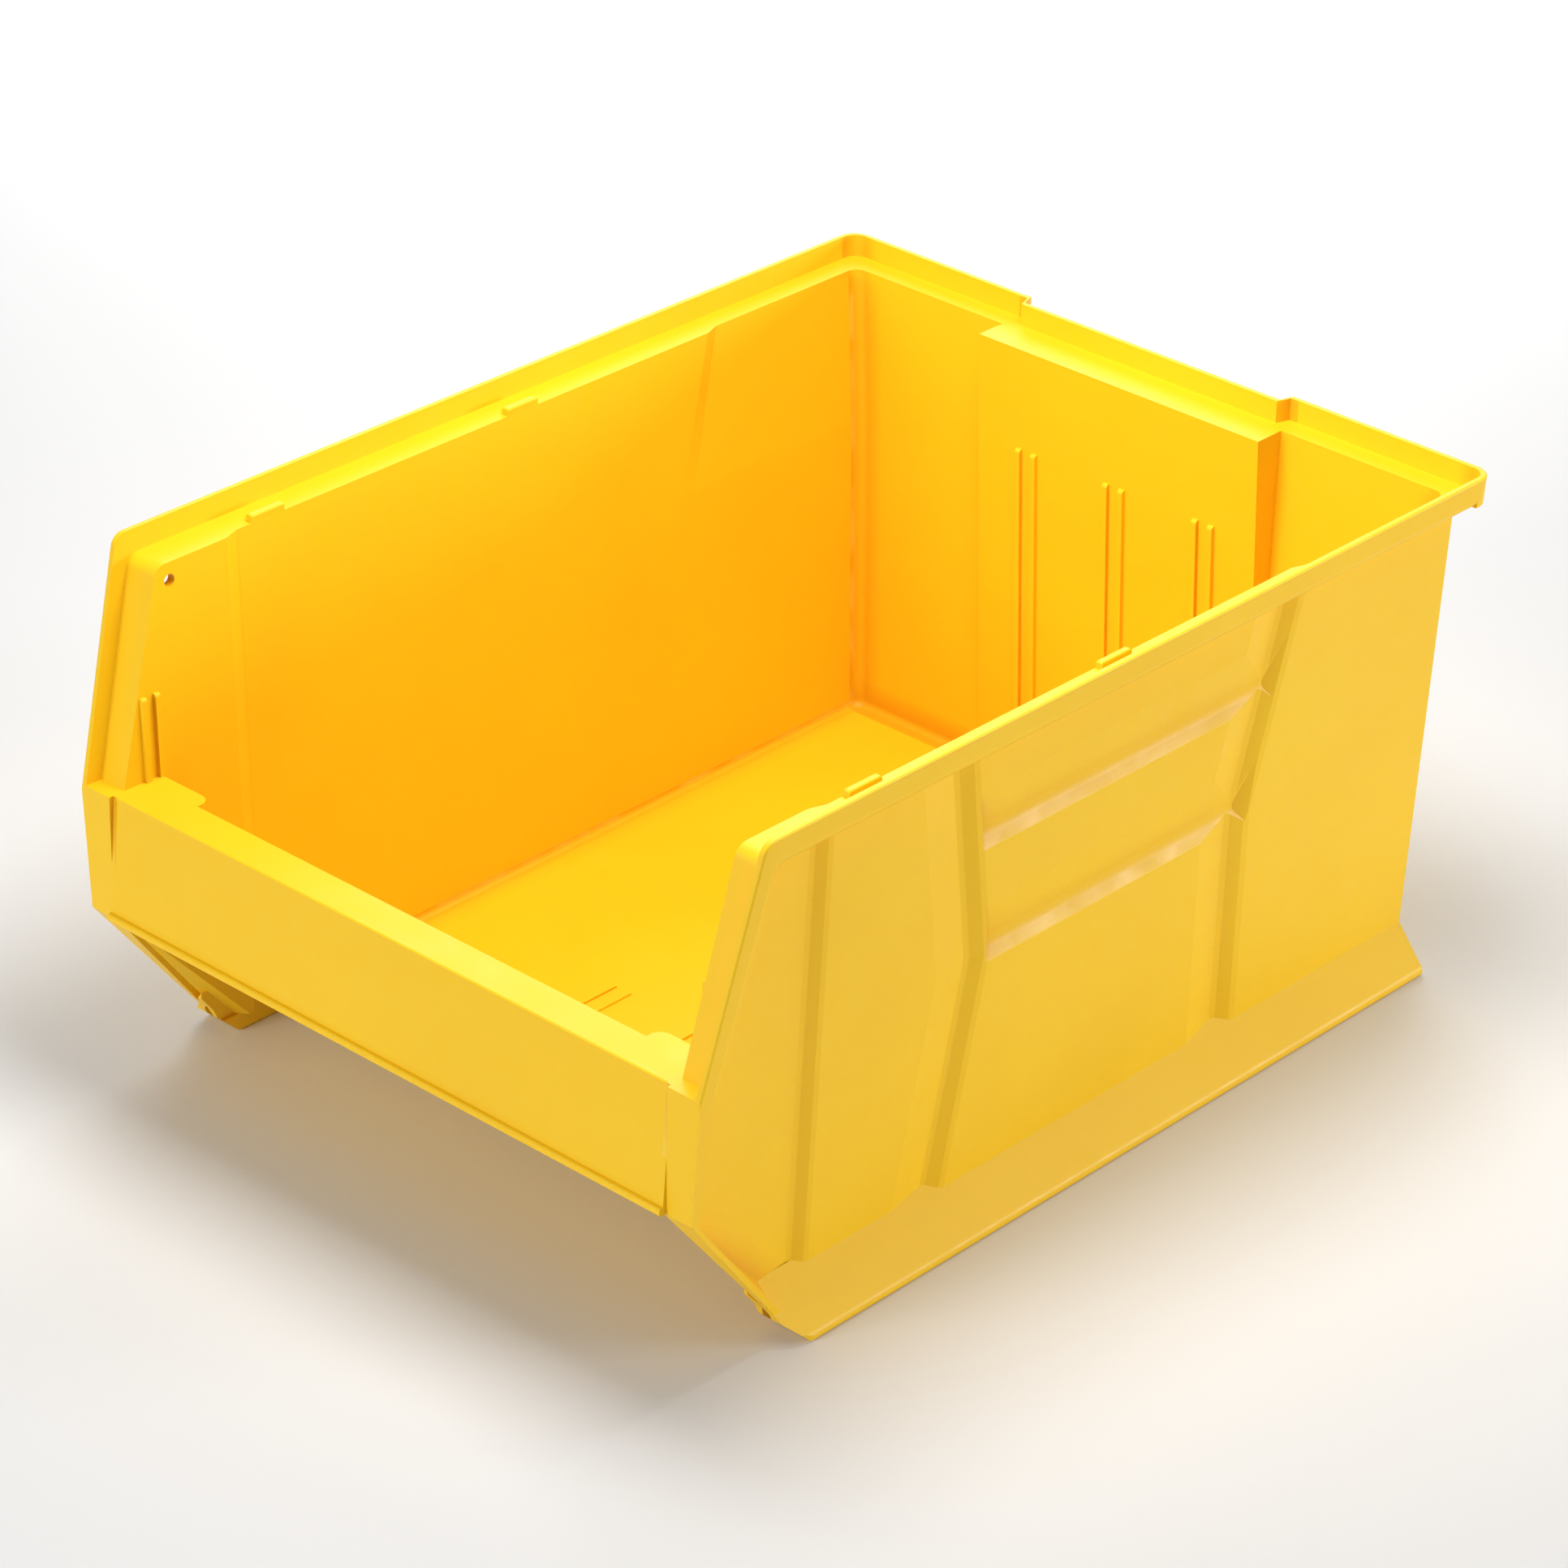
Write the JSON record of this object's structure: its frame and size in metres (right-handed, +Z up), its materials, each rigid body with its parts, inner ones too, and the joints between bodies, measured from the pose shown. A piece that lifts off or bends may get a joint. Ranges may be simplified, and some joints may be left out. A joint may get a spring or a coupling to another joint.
{
  "type": "hanging parts bin",
  "caption": "Open-fronted moulded parts bin with stacking rails and ledges, a picking lip, ribbed side grip panels and a rear lip that hangs on a louvred panel or rail.",
  "frame": {"origin": "under the middle of the bin, on the plane that the stacking rails stand on", "axes": "+Z up; +Y from the open front towards the hanger lip at the back; +X to the right of someone who faces the front"},
  "size_m": [0.4598, 0.606, 0.306],
  "materials": {
    "moulded_polypropylene": "injection-moulded yellow polypropylene, fine satin grain"
  },
  "bodies": {
    "root": {"anti_slide_lugs_left": "moulded_polypropylene", "anti_slide_lugs_right": "moulded_polypropylene", "back_guide_centre": "moulded_polypropylene", "back_guide_left": "moulded_polypropylene", "back_guide_right": "moulded_polypropylene", "back_ledge_centre": "moulded_polypropylene", "back_ledge_left": "moulded_polypropylene", "back_ledge_right": "moulded_polypropylene", "back_wall_head_left": "moulded_polypropylene", "back_wall_head_right": "moulded_polypropylene", "back_wall_left": "moulded_polypropylene", "back_wall_right": "moulded_polypropylene", "corner_post_left": "moulded_polypropylene", "corner_post_right": "moulded_polypropylene", "floor_guide_centre": "moulded_polypropylene", "floor_guide_left": "moulded_polypropylene", "floor_guide_right": "moulded_polypropylene", "floor_panel": "moulded_polypropylene", "front_bottom_bead": "moulded_polypropylene", "front_inner_wall": "moulded_polypropylene", "front_label_panel": "moulded_polypropylene", "front_rim_left": "moulded_polypropylene", "front_rim_right": "moulded_polypropylene", "front_step_left": "moulded_polypropylene", "front_step_right": "moulded_polypropylene", "grip_panel_left": "moulded_polypropylene", "grip_panel_right": "moulded_polypropylene", "hang_cheek_left": "moulded_polypropylene", "hang_cheek_right": "moulded_polypropylene", "hang_panel": "moulded_polypropylene", "hanger_lip_centre": "moulded_polypropylene", "hanger_lip_left": "moulded_polypropylene", "hanger_lip_right": "moulded_polypropylene", "hopper_slope": "moulded_polypropylene", "lip_pad_left": "moulded_polypropylene", "lip_pad_right": "moulded_polypropylene", "picking_lip": "moulded_polypropylene", "side_ledge_left": "moulded_polypropylene", "side_ledge_rear_left": "moulded_polypropylene", "side_ledge_rear_right": "moulded_polypropylene", "side_ledge_right": "moulded_polypropylene", "side_nose_left": "moulded_polypropylene", "side_nose_right": "moulded_polypropylene", "side_panel_left": "moulded_polypropylene", "side_panel_right": "moulded_polypropylene", "side_rim_left": "moulded_polypropylene", "side_rim_right": "moulded_polypropylene", "side_tail_left": "moulded_polypropylene", "side_tail_right": "moulded_polypropylene", "slope_edge_left": "moulded_polypropylene", "slope_edge_right": "moulded_polypropylene", "stacking_rail_left": "moulded_polypropylene", "stacking_rail_right": "moulded_polypropylene", "window_slot_ribs_left": "moulded_polypropylene", "window_slot_ribs_right": "moulded_polypropylene"}
  },
  "joints": []
}
